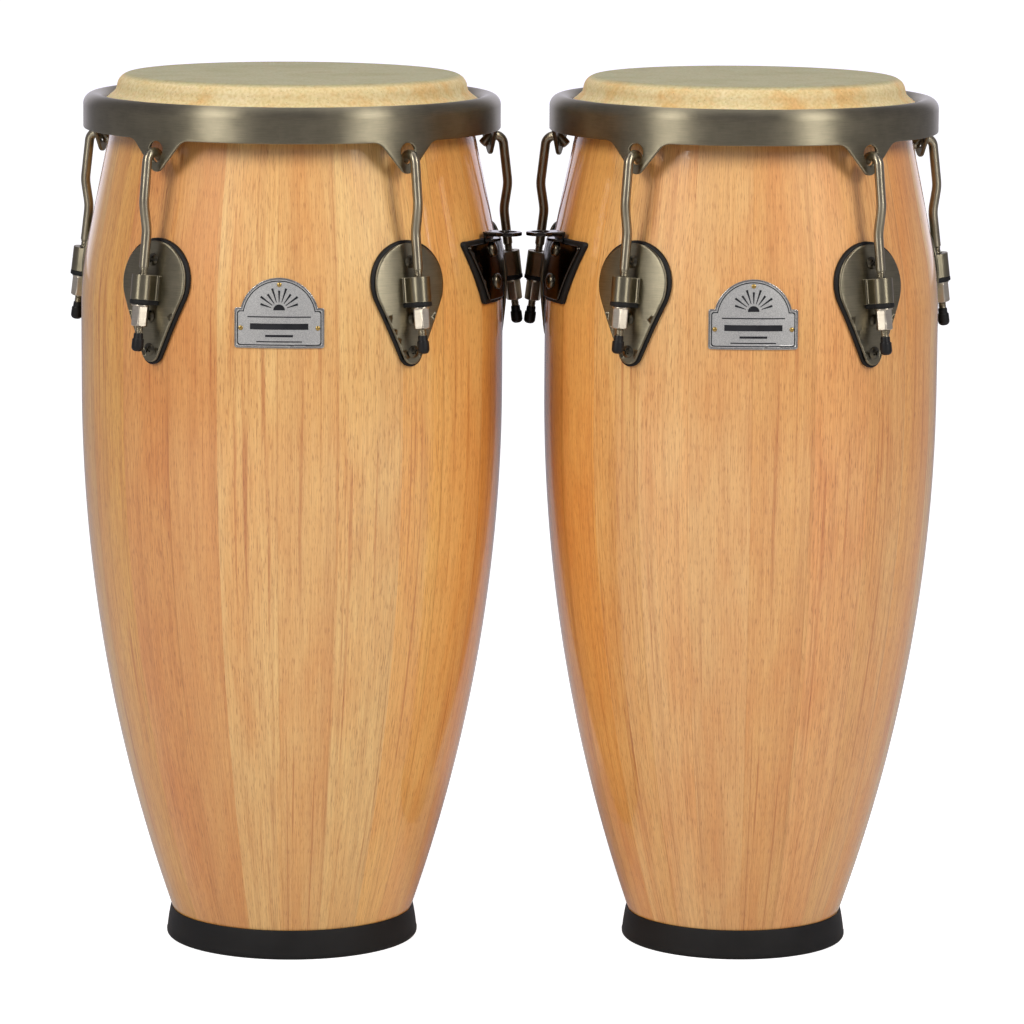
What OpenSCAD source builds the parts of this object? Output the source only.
// A pair of stave-built conga drums with five tuning lugs each.
// Lengths are millimetres. The floor is z = 0, and the origin is at the middle of the
// pair's footprint. The badges face -Y. Angles round a drum start at the badge and grow
// towards +X.

/* [Drums] */
// Belly radius of the large drum
large_belly_r = 172.5; // [168:0.5:176]
// Belly radius of the small drum
small_belly_r = 161; // [156:0.5:163]
// Distance between the two drums' axes
axis_spacing = 368; // [368:1:420]
// Angle by which each drum is turned outwards about its own axis
turn_out = 1; // [0:0.5:2]

/* [Shell] */
// Height of the shell's bottom edge above the floor, inside the boot
shell_foot_z = 4; // [3:0.5:5]
// Thickness of the wooden wall
wall_t = 12; // [9:0.5:13]
// Radius of the long arc between the belly and the foot
low_arc = 1330; // [1250:10:1450]
// Rounding radius of the bearing edge
edge_round = 9.5; // [8:0.5:10]

/* [Boot] */
// Height of the rubber boot
boot_h = 24; // [20:1:28]
// Thickness of the boot's top lip
boot_lip_t = 1.4; // [1:0.1:3]
// Radius of the boot where it bulges over the floor, taken off the belly radius
boot_inset = 68.3; // [66:0.1:69]

/* [Head] */
// Thickness of the rawhide
skin_t = 1.6; // [1.2:0.1:2]
// Wire radius of the flesh hoop
flesh_wire_r = 3.5; // [3:0.1:3.5]

/* [Rim] */
// Thickness of the rim's steel band
rim_t = 3; // [2.5:0.1:3]
// Outer radius of the rim's rolled crown
crown_r = 9; // [8.8:0.1:9]
// Height of the rim's lower edge above the floor
rim_low_z = 672; // [670:0.5:674]

/* [Lugs] */
// Radius of the smooth part of a tuning hook
rod_r = 3.9; // [3.6:0.1:3.9]
// Radius of a hook's thread
thread_r = 3.4; // [3:0.1:3.4]
// Angle by which a hook's straight part leans outwards, going down
lug_tilt = 7.4; // [7.2:0.1:7.6]
// Length of the socket block along the hook
socket_len = 20; // [18:0.5:20]
// Distance across the flats of a tuning nut
nut_flats = 12; // [11:0.5:13]
// Thickness of a lug's rubber gasket
gasket_t = 3.5; // [3:0.1:4]
// Thickness of a lug's steel plate
plate_t = 2.5; // [2:0.1:3]

/* [Badge and bracket] */
// Width of the badge's rectangle
badge_w = 71; // [60:1:76]
// Radius of the pin hole in the stand bracket's eye
eye_bore_r = 7; // [5:0.5:8]

/* [Hidden] */
// Place of the large drum's axis from the middle of the footprint
large_x = -178.5;
drums_y = -13.2;
// Each drum is its axis, its belly radius, its turn and its stand bracket's angle
LARGE = [[large_x, drums_y, 0], large_belly_r, -turn_out, 72];
SMALL = [[large_x + axis_spacing, drums_y, 0], small_belly_r, turn_out, -72];
LUG_ANGLES = [36, 108, 180, 252, 324];
LUGS = [0, 1, 2, 3, 4];

// Shell profile: belly_low to belly_high is the straight belly
belly_low = 458;
belly_high = 523;
cone_angle = 11.5;
high_arc = 289;
cone_z = belly_high + high_arc * sin(cone_angle);
edge_z = 705;
shell_step = 20;
shell_top_z = edge_z + edge_round;

// Radii below are measured from the belly radius
edge_in = 41.1;
flesh_in = 18.5;
flesh_z = 685;
rim_in = 2.5;
crown_z = 691.2;
rim_foot_z = 690.5;
rim_gap = 0.3;

// Ears of the rim and their keyholes
ear_shoulder_r = 12;
ear_side_angle = 40;
ear_shoulder_x = 30.7;
ear_tip_r = 7;
ear_tip_z = 653.7;
ear_skirt_z = 640;
key_head_r = 6.7;
key_head_z = 664.5;
key_slot_r = 4.4;
key_slot_z = 658.7;

// Lug geometry, measured along the hook from the socket's middle
lug_out = 14;
lug_z = 556.5;
tear_top_r = 34;
tear_top_z = 560;
tear_low_r = 10.5;
tear_low_z = 504.5;
plate_inset = 2;
socket_r = 8.9;
socket_bore_r = 4.2;
socket_foot = 10.8;
socket_foot_h = 2.2;
cushion_t = 3.6;
cushion_r = 9.1;
nut_top = -13.9;
nut_flange_t = 1.2;
nut_flange_r = 7.4;
nut_low = -31;
nut_clear = 0.05;
cap_top = -36.5;
cap_low = -51;
cap_r = 4.8;
thread_low = -47;
thread_top = 15.5;
// Straights run this far into the bends, which are thicker by bend_swell
bar_overlap = 0.2;
bend_swell = 0.02;
hook_path = [
    ["straight", 25.3],
    ["bend", 30, -16.4],
    ["straight", 13],
    ["bend", 30, 16],
    ["straight", 28.8],
    ["bend", 8, 128],
    ["straight", 6]
];

// Screws and bolts
SCREW_HEIGHTS = [576.3, 532, 506.2];
screw_head_r = 5.1;
screw_head_h = 2.4;
screw_r = 2.5;
BOLT_HEIGHTS = [577.8, 552.4];
bolt_head_r = 6.5;
bolt_head_h = 3.6;
bolt_r = 3;
hole_clear = 0.05;
washer_t = 1.2;
washer_r = 6.5;
inner_nut_r = 5;
inner_nut_h = 4;
inner_gap = 0.4;

// Stand bracket
bracket_gasket_t = 4;
bracket_t = 2.5;
bracket_low_z = 536;
bracket_top_z = 588;
bracket_top_half = 43.6;
bracket_low_half = 19;
bracket_inset = 3;
bracket_round = 3;
shelf_z = 585.8;
shelf_t = 2.2;
shelf_r = 11;
shelf_in = 3.5;
eye_z = 590.5;
eye_t = 3;
eye_r = 11.5;
eye_out = 14;
tongue_half = 9;

// Badge
badge_low_z = 511.4;
badge_mid_z = 543.2;
badge_arch_r = 31.3;
badge_arch_z = 535.7;
badge_t = 1.2;
badge_round = 2;
pin_r = 1.2;
pin_head_r = 1.9;
pin_head_h = 0.9;
pin_len = 8;

fine = 96;
small_fn = 40;
arc_steps = 10;

DRUM_PARTS = ["shell", "boot", "rim", "skin", "flesh_hoop", "lug_plates", "lug_gaskets",
    "lug_screws", "lug_sockets", "lug_cushions", "bracket", "bracket_gasket",
    "bracket_bolts", "badge", "badge_pins", "hook_1", "hook_2", "hook_3", "hook_4",
    "hook_5", "nut_1", "nut_2", "nut_3", "nut_4", "nut_5", "cap_1", "cap_2", "cap_3",
    "cap_4", "cap_5"];

// ---- Shell profile ----------------------------------------------------------

function wall_r(z, belly) =
    z < belly_low ? belly - low_arc + sqrt(low_arc * low_arc - pow(belly_low - z, 2))
    : z < belly_high ? belly
    : z < cone_z ? belly - high_arc + sqrt(high_arc * high_arc - pow(z - belly_high, 2))
    : belly - high_arc * (1 - cos(cone_angle)) - (z - cone_z) * tan(cone_angle);

// Upward tilt of the wall's outward normal
function wall_lean(z) =
    z < belly_low ? -asin((belly_low - z) / low_arc)
    : z < belly_high ? 0
    : z < cone_z ? asin((z - belly_high) / high_arc)
    : cone_angle;

function wall_line(low, high, belly, out) =
    [for (z = [low:shell_step:high]) [wall_r(z, belly) + out, z]];

function arc(cx, cy, r, from, to, steps = arc_steps) =
    [for (i = [0:steps]) let (a = from + (to - from) * i / steps)
        [cx + r * cos(a), cy + r * sin(a)]];

function reversed(list) = [for (i = [len(list) - 1:-1:0]) list[i]];

function unit(v) = v / norm(v);

// One rounded corner of a convex outline, as points along its arc
function corner(before, at, after, r, steps = 5) =
    let (
        a = unit(before - at),
        b = unit(after - at),
        half = acos(a * b) / 2,
        centre = at + unit(a + b) * r / sin(half),
        first = at + a * r / tan(half) - centre,
        last = at + b * r / tan(half) - centre,
        start = atan2(first[1], first[0]),
        swing = atan2(last[1], last[0]) - start,
        sweep = swing > 180 ? swing - 360 : swing < -180 ? swing + 360 : swing
    )
    [for (i = [0:steps]) centre + r * [cos(start + sweep * i / steps),
        sin(start + sweep * i / steps)]];

function rounded(points, r) =
    let (n = len(points))
    [for (i = [0:n - 1]) each corner(points[(i + n - 1) % n], points[i],
        points[(i + 1) % n], r)];

// ---- Placement --------------------------------------------------------------

module at_drum(drum) {
    translate(drum[0])
        rotate([0, 0, drum[2]])
            children();
}

// Turns +X to point outwards at the given angle round the drum
module at_angle(angle) {
    rotate([0, 0, angle - 90])
        children();
}

// Stands +Z on the shell's outer wall, along its normal
module on_wall(z, belly) {
    translate([wall_r(z, belly), 0, z])
        rotate([0, 90 - wall_lean(z), 0])
            children();
}

module at_lug(drum, i) {
    at_drum(drum)
        at_angle(LUG_ANGLES[i])
            translate([drum[1] + lug_out, 0, lug_z])
                rotate([0, -lug_tilt, 0])
                    children();
}

// Extrudes an outline, drawn as (sideways, height), outwards through the wall
module outwards(belly) {
    translate([belly - 50, 0, 0])
        rotate([90, 0, 90])
            linear_extrude(90)
                children();
}

// A layer that follows the shell's wall, from one distance off it to another
module wall_layer(belly, low, high, near, far, half_angle = 25) {
    rotate_extrude(start = -half_angle, angle = 2 * half_angle, $fn = fine)
        polygon(concat(wall_line(low, high, belly, near),
            reversed(wall_line(low, high, belly, far))));
}

// ---- Drum body --------------------------------------------------------------

module shell(drum) {
    belly = drum[1];
    edge_r = belly - edge_in;
    rows = concat([shell_foot_z, boot_h], [for (z = [2 * shell_step:shell_step:700]) z]);
    outside = [for (z = rows) [wall_r(z, belly), z]];
    inside = [for (z = rows) [wall_r(z, belly) - wall_t, z]];
    color("burlywood")
        at_drum(drum)
            difference() {
                rotate_extrude($fn = fine)
                    polygon(concat(outside, arc(edge_r, edge_z, edge_round, 0, 90),
                        [[edge_r - 2, shell_top_z]], reversed(inside)));
                lug_holes(belly);
                at_angle(drum[3])
                    bolt_holes(belly);
            }
}

module lug_holes(belly) {
    for (angle = LUG_ANGLES, z = SCREW_HEIGHTS)
        at_angle(angle)
            on_wall(z, belly)
                translate([0, 0, -20])
                    cylinder(r = screw_r + hole_clear, h = 40, $fn = small_fn);
}

module bolt_holes(belly) {
    for (z = BOLT_HEIGHTS)
        on_wall(z, belly)
            translate([0, 0, -20])
                cylinder(r = bolt_r + hole_clear, h = 40, $fn = small_fn);
}

module boot(drum) {
    belly = drum[1];
    bulge_r = belly - boot_inset;
    inner_r = wall_r(shell_foot_z, belly) - wall_t;
    round_r = 3;
    color([0.09, 0.09, 0.1])
        at_drum(drum)
            rotate_extrude($fn = fine)
                polygon(concat(
                    [[inner_r, 0]],
                    arc(bulge_r - round_r, round_r, round_r, -90, 0, 5),
                    arc(bulge_r + 60, 5, 60, 180, 166, 5),
                    [[wall_r(boot_h, belly) + boot_lip_t, boot_h], [wall_r(boot_h, belly), boot_h],
                        [wall_r(shell_foot_z, belly), shell_foot_z], [inner_r, shell_foot_z]]));
}

// ---- Head -------------------------------------------------------------------

module flesh_hoop(drum) {
    color("silver")
        at_drum(drum)
            rotate_extrude($fn = fine)
                translate([drum[1] - flesh_in, flesh_z])
                    circle(r = flesh_wire_r, $fn = small_fn);
}

// The hide lies flat, bends over the bearing edge and is tucked round the flesh hoop
module skin(drum) {
    belly = drum[1];
    edge_r = belly - edge_in;
    tuck_r = belly - flesh_in - 2.6;
    outer = edge_round + skin_t;
    color("wheat")
        at_drum(drum) {
            rotate_extrude($fn = fine)
                polygon(concat(
                    [[0, shell_top_z], [0, shell_top_z + skin_t]],
                    arc(edge_r, edge_z, outer, 90, 0),
                    [[edge_r + 14, 700.6], [tuck_r, 696.4], [tuck_r, 688],
                        [tuck_r - skin_t, 688], [tuck_r - skin_t, 695.2], [edge_r + 12.6, 699.4]],
                    arc(edge_r, edge_z, edge_round, 0, 90)));
            rotate_extrude($fn = fine)
                translate([belly - flesh_in, flesh_z])
                    difference() {
                        circle(r = flesh_wire_r + skin_t, $fn = small_fn);
                        circle(r = flesh_wire_r, $fn = small_fn);
                    }
        }
}

// ---- Rim --------------------------------------------------------------------

// Outline of one ear: concave shoulders, straight sides and a round tip
function ear_outline() =
    let (
        side = arc(-ear_shoulder_x, rim_low_z - ear_shoulder_r, ear_shoulder_r, 90,
            ear_side_angle, 6),
        tip = arc(0, ear_tip_z, ear_tip_r, 180 + ear_side_angle, 360 - ear_side_angle, 8)
    )
    concat([[-ear_shoulder_x, rim_low_z + 4]], side, tip,
        [for (p = reversed(side)) [-p[0], p[1]]], [[ear_shoulder_x, rim_low_z + 4]]);

module keyhole(rim_r) {
    translate([rim_r - 20, 0, key_head_z])
        rotate([0, 90, 0])
            cylinder(r = key_head_r, h = 40, $fn = small_fn);
    translate([rim_r - 20, 0, key_slot_z])
        rotate([0, 90, 0])
            cylinder(r = key_slot_r, h = 40, $fn = small_fn);
    translate([rim_r - 20, -key_slot_r, key_slot_z])
        cube([40, 2 * key_slot_r, key_head_z - key_slot_z]);
}

// The skirt below the lower edge is cut away everywhere except at the ears
module rim_skirt_cut(rim_r) {
    difference() {
        rotate_extrude($fn = fine)
            translate([rim_r - rim_t - 5, ear_skirt_z - 10])
                square([rim_t + 10, rim_low_z - ear_skirt_z + 10]);
        for (angle = LUG_ANGLES)
            at_angle(angle)
                outwards(rim_r)
                    polygon(ear_outline());
    }
}

module rim(drum) {
    rim_r = drum[1] - rim_in;
    crown_at = rim_r - crown_r;
    color([0.45, 0.44, 0.41])
        at_drum(drum)
            difference() {
                rotate_extrude($fn = fine)
                    polygon(concat(
                        [[rim_r - rim_t, ear_skirt_z], [rim_r, ear_skirt_z]],
                        arc(crown_at, crown_z, crown_r, 0, 180, 16),
                        [[crown_at - crown_r, rim_foot_z],
                            [crown_at - crown_r + rim_t, rim_foot_z]],
                        arc(crown_at, crown_z, crown_r - rim_t, 180, 0, 16)));
                rim_skirt_cut(rim_r);
                for (angle = LUG_ANGLES)
                    at_angle(angle)
                        keyhole(rim_r);
            }
}

// ---- Lugs -------------------------------------------------------------------

// Teardrop with a large round top and a small round tip
function teardrop(inset) =
    let (a = asin((tear_top_r - tear_low_r) / (tear_top_z - tear_low_z)))
    concat(arc(0, tear_top_z, tear_top_r - inset, -a, 180 + a, 24),
        arc(0, tear_low_z, tear_low_r - inset, 180 + a, 360 - a, 10));

module lug_layer(drum, near, far, inset) {
    belly = drum[1];
    at_drum(drum)
        difference() {
            for (angle = LUG_ANGLES)
                at_angle(angle)
                    intersection() {
                        wall_layer(belly, 480, 600, near, far);
                        outwards(belly)
                            polygon(teardrop(inset));
                    }
            lug_holes(belly);
        }
}

module lug_gaskets(drum) {
    color([0.08, 0.08, 0.08])
        lug_layer(drum, 0, gasket_t, 0);
}

module lug_plates(drum) {
    color([0.5, 0.49, 0.46])
        lug_layer(drum, gasket_t, gasket_t + plate_t, plate_inset);
}

// A domed head standing on z = 0, with a cross recess
module screw_head(r, h) {
    dome_r = (r * r + h * h) / (2 * h);
    half = asin(r / dome_r);
    rotate_extrude($fn = small_fn)
        polygon(concat([[0, 0]], arc(0, h - dome_r, dome_r, 90 - half, 90, 6)));
}

module cross_recess(h) {
    slot_w = 1.3;
    slot_l = 5.4;
    depth = 1.5;
    for (spin = [0, 90])
        rotate([0, 0, spin])
            translate([-slot_l / 2, -slot_w / 2, h - depth])
                cube([slot_l, slot_w, depth + 1]);
}

// Shank through the wall with a washer and a nut inside the shell
module through_fixing(r, out) {
    washer_z = -wall_t - inner_gap - washer_t;
    translate([0, 0, washer_z - inner_nut_h - 1])
        cylinder(r = r, h = out - washer_z + inner_nut_h + 1.2, $fn = small_fn);
    translate([0, 0, washer_z])
        difference() {
            cylinder(r = washer_r, h = washer_t, $fn = small_fn);
            translate([0, 0, -1])
                cylinder(r = r + hole_clear, h = washer_t + 2, $fn = small_fn);
        }
    translate([0, 0, washer_z - inner_nut_h])
        difference() {
            cylinder(r = inner_nut_r, h = inner_nut_h, $fn = 6);
            translate([0, 0, -1])
                cylinder(r = r + hole_clear, h = inner_nut_h + 2, $fn = small_fn);
        }
}

module lug_screws(drum) {
    out = gasket_t + plate_t;
    color("dimgray")
        at_drum(drum)
            for (angle = LUG_ANGLES, z = SCREW_HEIGHTS)
                at_angle(angle)
                    on_wall(z, drum[1]) {
                        translate([0, 0, out])
                            difference() {
                                screw_head(screw_head_r, screw_head_h);
                                cross_recess(screw_head_h);
                            }
                        through_fixing(screw_r, out - 1);
                    }
}

// D-shaped outline: round round the hook, square towards the plate
module lug_block(r, low, high) {
    translate([0, 0, low]) {
        cylinder(r = r, h = high - low, $fn = small_fn);
        translate([-30, -r, 0])
            cube([30, 2 * r, high - low]);
    }
}

// Everything inside the plate's outer face, to seat the block on it
module inside_plate(drum, i) {
    at_drum(drum)
        at_angle(LUG_ANGLES[i])
            wall_layer(drum[1], 520, 600, -60, gasket_t + plate_t, 12);
}

module lug_sockets(drum) {
    color([0.46, 0.45, 0.42])
        for (i = LUGS)
            difference() {
                at_lug(drum, i)
                    difference() {
                        union() {
                            lug_block(socket_r, -socket_len / 2, socket_len / 2);
                            translate([-30, -socket_foot, -socket_len / 2])
                                cube([30 - lug_out + gasket_t + plate_t + socket_foot_h,
                                    2 * socket_foot, socket_len]);
                        }
                        translate([0, 0, -socket_len])
                            cylinder(r = socket_bore_r, h = 2 * socket_len, $fn = small_fn);
                    }
                inside_plate(drum, i);
            }
}

module lug_cushions(drum) {
    top = -socket_len / 2;
    color([0.08, 0.08, 0.08])
        for (i = LUGS)
            difference() {
                at_lug(drum, i)
                    difference() {
                        lug_block(cushion_r, top - cushion_t, top);
                        translate([0, 0, -socket_len])
                            cylinder(r = socket_bore_r, h = 2 * socket_len, $fn = small_fn);
                    }
                inside_plate(drum, i);
            }
}

// ---- Hooks, nuts and caps ---------------------------------------------------

// Bends a round bar in the XZ plane, step by step; positive bends turn towards -X
module bar(path, r, i = 0) {
    if (i < len(path)) {
        step = path[i];
        if (step[0] == "straight") {
            translate([0, 0, -bar_overlap])
                cylinder(r = r, h = step[1] + 2 * bar_overlap, $fn = small_fn);
            translate([0, 0, step[1]])
                bar(path, r, i + 1);
        } else {
            bend_r = step[1];
            turn = abs(step[2]);
            spin = step[2] < 0 ? 180 : 0;
            rotate([0, 0, spin]) {
                translate([-bend_r, 0, 0])
                    rotate([90, 0, 0])
                        rotate_extrude(angle = turn, $fn = fine)
                            translate([bend_r, 0])
                                circle(r = r + bend_swell, $fn = small_fn);
                translate([bend_r * (cos(turn) - 1), 0, bend_r * sin(turn)])
                    rotate([0, -turn, 0])
                        rotate([0, 0, spin])
                            bar(path, r, i + 1);
            }
        }
    }
}

module hook(drum, i) {
    color([0.42, 0.4, 0.36])
        at_lug(drum, i) {
            translate([0, 0, thread_low])
                cylinder(r = thread_r, h = thread_top - thread_low, $fn = small_fn);
            translate([0, 0, thread_top])
                bar(hook_path, rod_r);
        }
}

module nut(drum, i) {
    color("gainsboro")
        at_lug(drum, i)
            difference() {
                union() {
                    translate([0, 0, nut_top - nut_flange_t])
                        cylinder(r = nut_flange_r, h = nut_flange_t, $fn = small_fn);
                    translate([0, 0, nut_low])
                        cylinder(r = nut_flats / 2 / cos(30),
                            h = nut_top - nut_flange_t - nut_low, $fn = 6);
                }
                translate([0, 0, nut_low - 1])
                    cylinder(r = thread_r + nut_clear, h = nut_top - nut_low + 2,
                        $fn = small_fn);
            }
}

module cap(drum, i) {
    bore_r = thread_r + nut_clear;
    round_r = 3;
    color([0.07, 0.07, 0.07])
        at_lug(drum, i)
            rotate_extrude($fn = small_fn)
                polygon(concat(
                    [[0, cap_low]],
                    arc(cap_r - round_r, cap_low + round_r, round_r, -90, 0, 5),
                    arc(cap_r - 1, cap_top - 1, 1, 0, 90, 3),
                    [[bore_r, cap_top], [bore_r, thread_low], [0, thread_low]]));
}

// ---- Stand bracket ----------------------------------------------------------

function bracket_outline(inset) =
    rounded([
        [-bracket_low_half + inset, bracket_low_z + inset],
        [bracket_low_half - inset, bracket_low_z + inset],
        [bracket_top_half - inset, bracket_top_z - inset],
        [-bracket_top_half + inset, bracket_top_z - inset]
    ], bracket_round);

module bracket_gasket(drum) {
    belly = drum[1];
    color([0.08, 0.08, 0.08])
        at_drum(drum)
            at_angle(drum[3])
                difference() {
                    intersection() {
                        wall_layer(belly, 520, 600, 0, bracket_gasket_t);
                        outwards(belly)
                            polygon(bracket_outline(0));
                    }
                    bolt_holes(belly);
                }
}

module bracket(drum) {
    belly = drum[1];
    face = bracket_gasket_t + bracket_t;
    eye_x = belly + eye_out;
    tongue_x = wall_r(eye_z, belly) + bracket_gasket_t + 0.5;
    color([0.3, 0.3, 0.32])
        at_drum(drum)
            at_angle(drum[3])
                difference() {
                    union() {
                        intersection() {
                            wall_layer(belly, 520, 600, bracket_gasket_t, face);
                            outwards(belly) {
                                polygon(bracket_outline(bracket_inset));
                                translate([-tongue_half, bracket_top_z - 10])
                                    square([2 * tongue_half,
                                        eye_z + eye_t - bracket_top_z + 10]);
                            }
                        }
                        difference() {
                            translate([wall_r(shelf_z, belly) + shelf_in, 0, shelf_z])
                                cylinder(r = shelf_r, h = shelf_t, $fn = small_fn);
                            wall_layer(belly, 520, 600, -40, bracket_gasket_t + 0.8);
                        }
                        translate([tongue_x, -tongue_half, eye_z])
                            cube([eye_x - tongue_x, 2 * tongue_half, eye_t]);
                        translate([eye_x, 0, eye_z])
                            cylinder(r = eye_r, h = eye_t, $fn = small_fn);
                    }
                    bolt_holes(belly);
                    translate([eye_x, 0, eye_z - 5])
                        cylinder(r = eye_bore_r, h = eye_t + 10, $fn = small_fn);
                }
}

module bracket_bolts(drum) {
    out = bracket_gasket_t + bracket_t;
    color("dimgray")
        at_drum(drum)
            at_angle(drum[3])
                for (z = BOLT_HEIGHTS)
                    on_wall(z, drum[1]) {
                        translate([0, 0, out])
                            screw_head(bolt_head_r, bolt_head_h);
                        through_fixing(bolt_r, out);
                    }
}

// ---- Badge ------------------------------------------------------------------

function badge_outline() =
    let (
        half = badge_w / 2,
        lift = asin((badge_mid_z - badge_arch_z) / badge_arch_r),
        low = [[-half, badge_low_z], [half, badge_low_z], [half, badge_mid_z]]
    )
    concat(
        corner([-half, badge_mid_z], low[0], low[1], badge_round),
        corner(low[0], low[1], low[2], badge_round),
        corner(low[1], low[2], [-half, badge_mid_z], badge_round),
        arc(0, badge_arch_z, badge_arch_r, lift, 180 - lift, 20),
        corner([half, badge_mid_z], [-half, badge_mid_z], low[0], badge_round));

// Places of the badge's three pins, as (sideways, height)
function pin_places() =
    [[0, badge_arch_z + badge_arch_r - 5.5], [-badge_w / 2 + 5.2, 527.3], [badge_w / 2 - 5.2, 527.3]];

module at_pins(belly) {
    for (p = pin_places())
        rotate([0, 0, asin(p[0] / belly)])
            on_wall(p[1], belly)
                children();
}

module badge(drum) {
    belly = drum[1];
    color("silver")
        at_drum(drum)
            at_angle(0)
                difference() {
                    intersection() {
                        wall_layer(belly, 500, 580, 0, badge_t);
                        outwards(belly)
                            polygon(badge_outline());
                    }
                    at_pins(belly)
                        translate([0, 0, -5])
                            cylinder(r = pin_r + hole_clear, h = 20, $fn = small_fn);
                }
}

module badge_pins(drum) {
    color("goldenrod")
        at_drum(drum)
            at_angle(0)
                at_pins(drum[1]) {
                    translate([0, 0, badge_t])
                        screw_head(pin_head_r, pin_head_h);
                    translate([0, 0, 0.3])
                        cylinder(r = pin_r, h = badge_t, $fn = small_fn);
                }
}

// ---- Nodes ------------------------------------------------------------------

shell(LARGE);  // large_shell
boot(LARGE);  // large_boot
rim(LARGE);  // large_rim
skin(LARGE);  // large_skin
flesh_hoop(LARGE);  // large_flesh_hoop
lug_plates(LARGE);  // large_lug_plates
lug_gaskets(LARGE);  // large_lug_gaskets
lug_screws(LARGE);  // large_lug_screws
lug_sockets(LARGE);  // large_lug_sockets
lug_cushions(LARGE);  // large_lug_cushions
bracket(LARGE);  // large_bracket
bracket_gasket(LARGE);  // large_bracket_gasket
bracket_bolts(LARGE);  // large_bracket_bolts
badge(LARGE);  // large_badge
badge_pins(LARGE);  // large_badge_pins
shell(SMALL);  // small_shell
boot(SMALL);  // small_boot
rim(SMALL);  // small_rim
skin(SMALL);  // small_skin
flesh_hoop(SMALL);  // small_flesh_hoop
lug_plates(SMALL);  // small_lug_plates
lug_gaskets(SMALL);  // small_lug_gaskets
lug_screws(SMALL);  // small_lug_screws
lug_sockets(SMALL);  // small_lug_sockets
lug_cushions(SMALL);  // small_lug_cushions
bracket(SMALL);  // small_bracket
bracket_gasket(SMALL);  // small_bracket_gasket
bracket_bolts(SMALL);  // small_bracket_bolts
badge(SMALL);  // small_badge
badge_pins(SMALL);  // small_badge_pins

for (i = LUGS) {
    hook(LARGE, i);
    nut(LARGE, i);
    cap(LARGE, i);
    hook(SMALL, i);
    nut(SMALL, i);
    cap(SMALL, i);
}
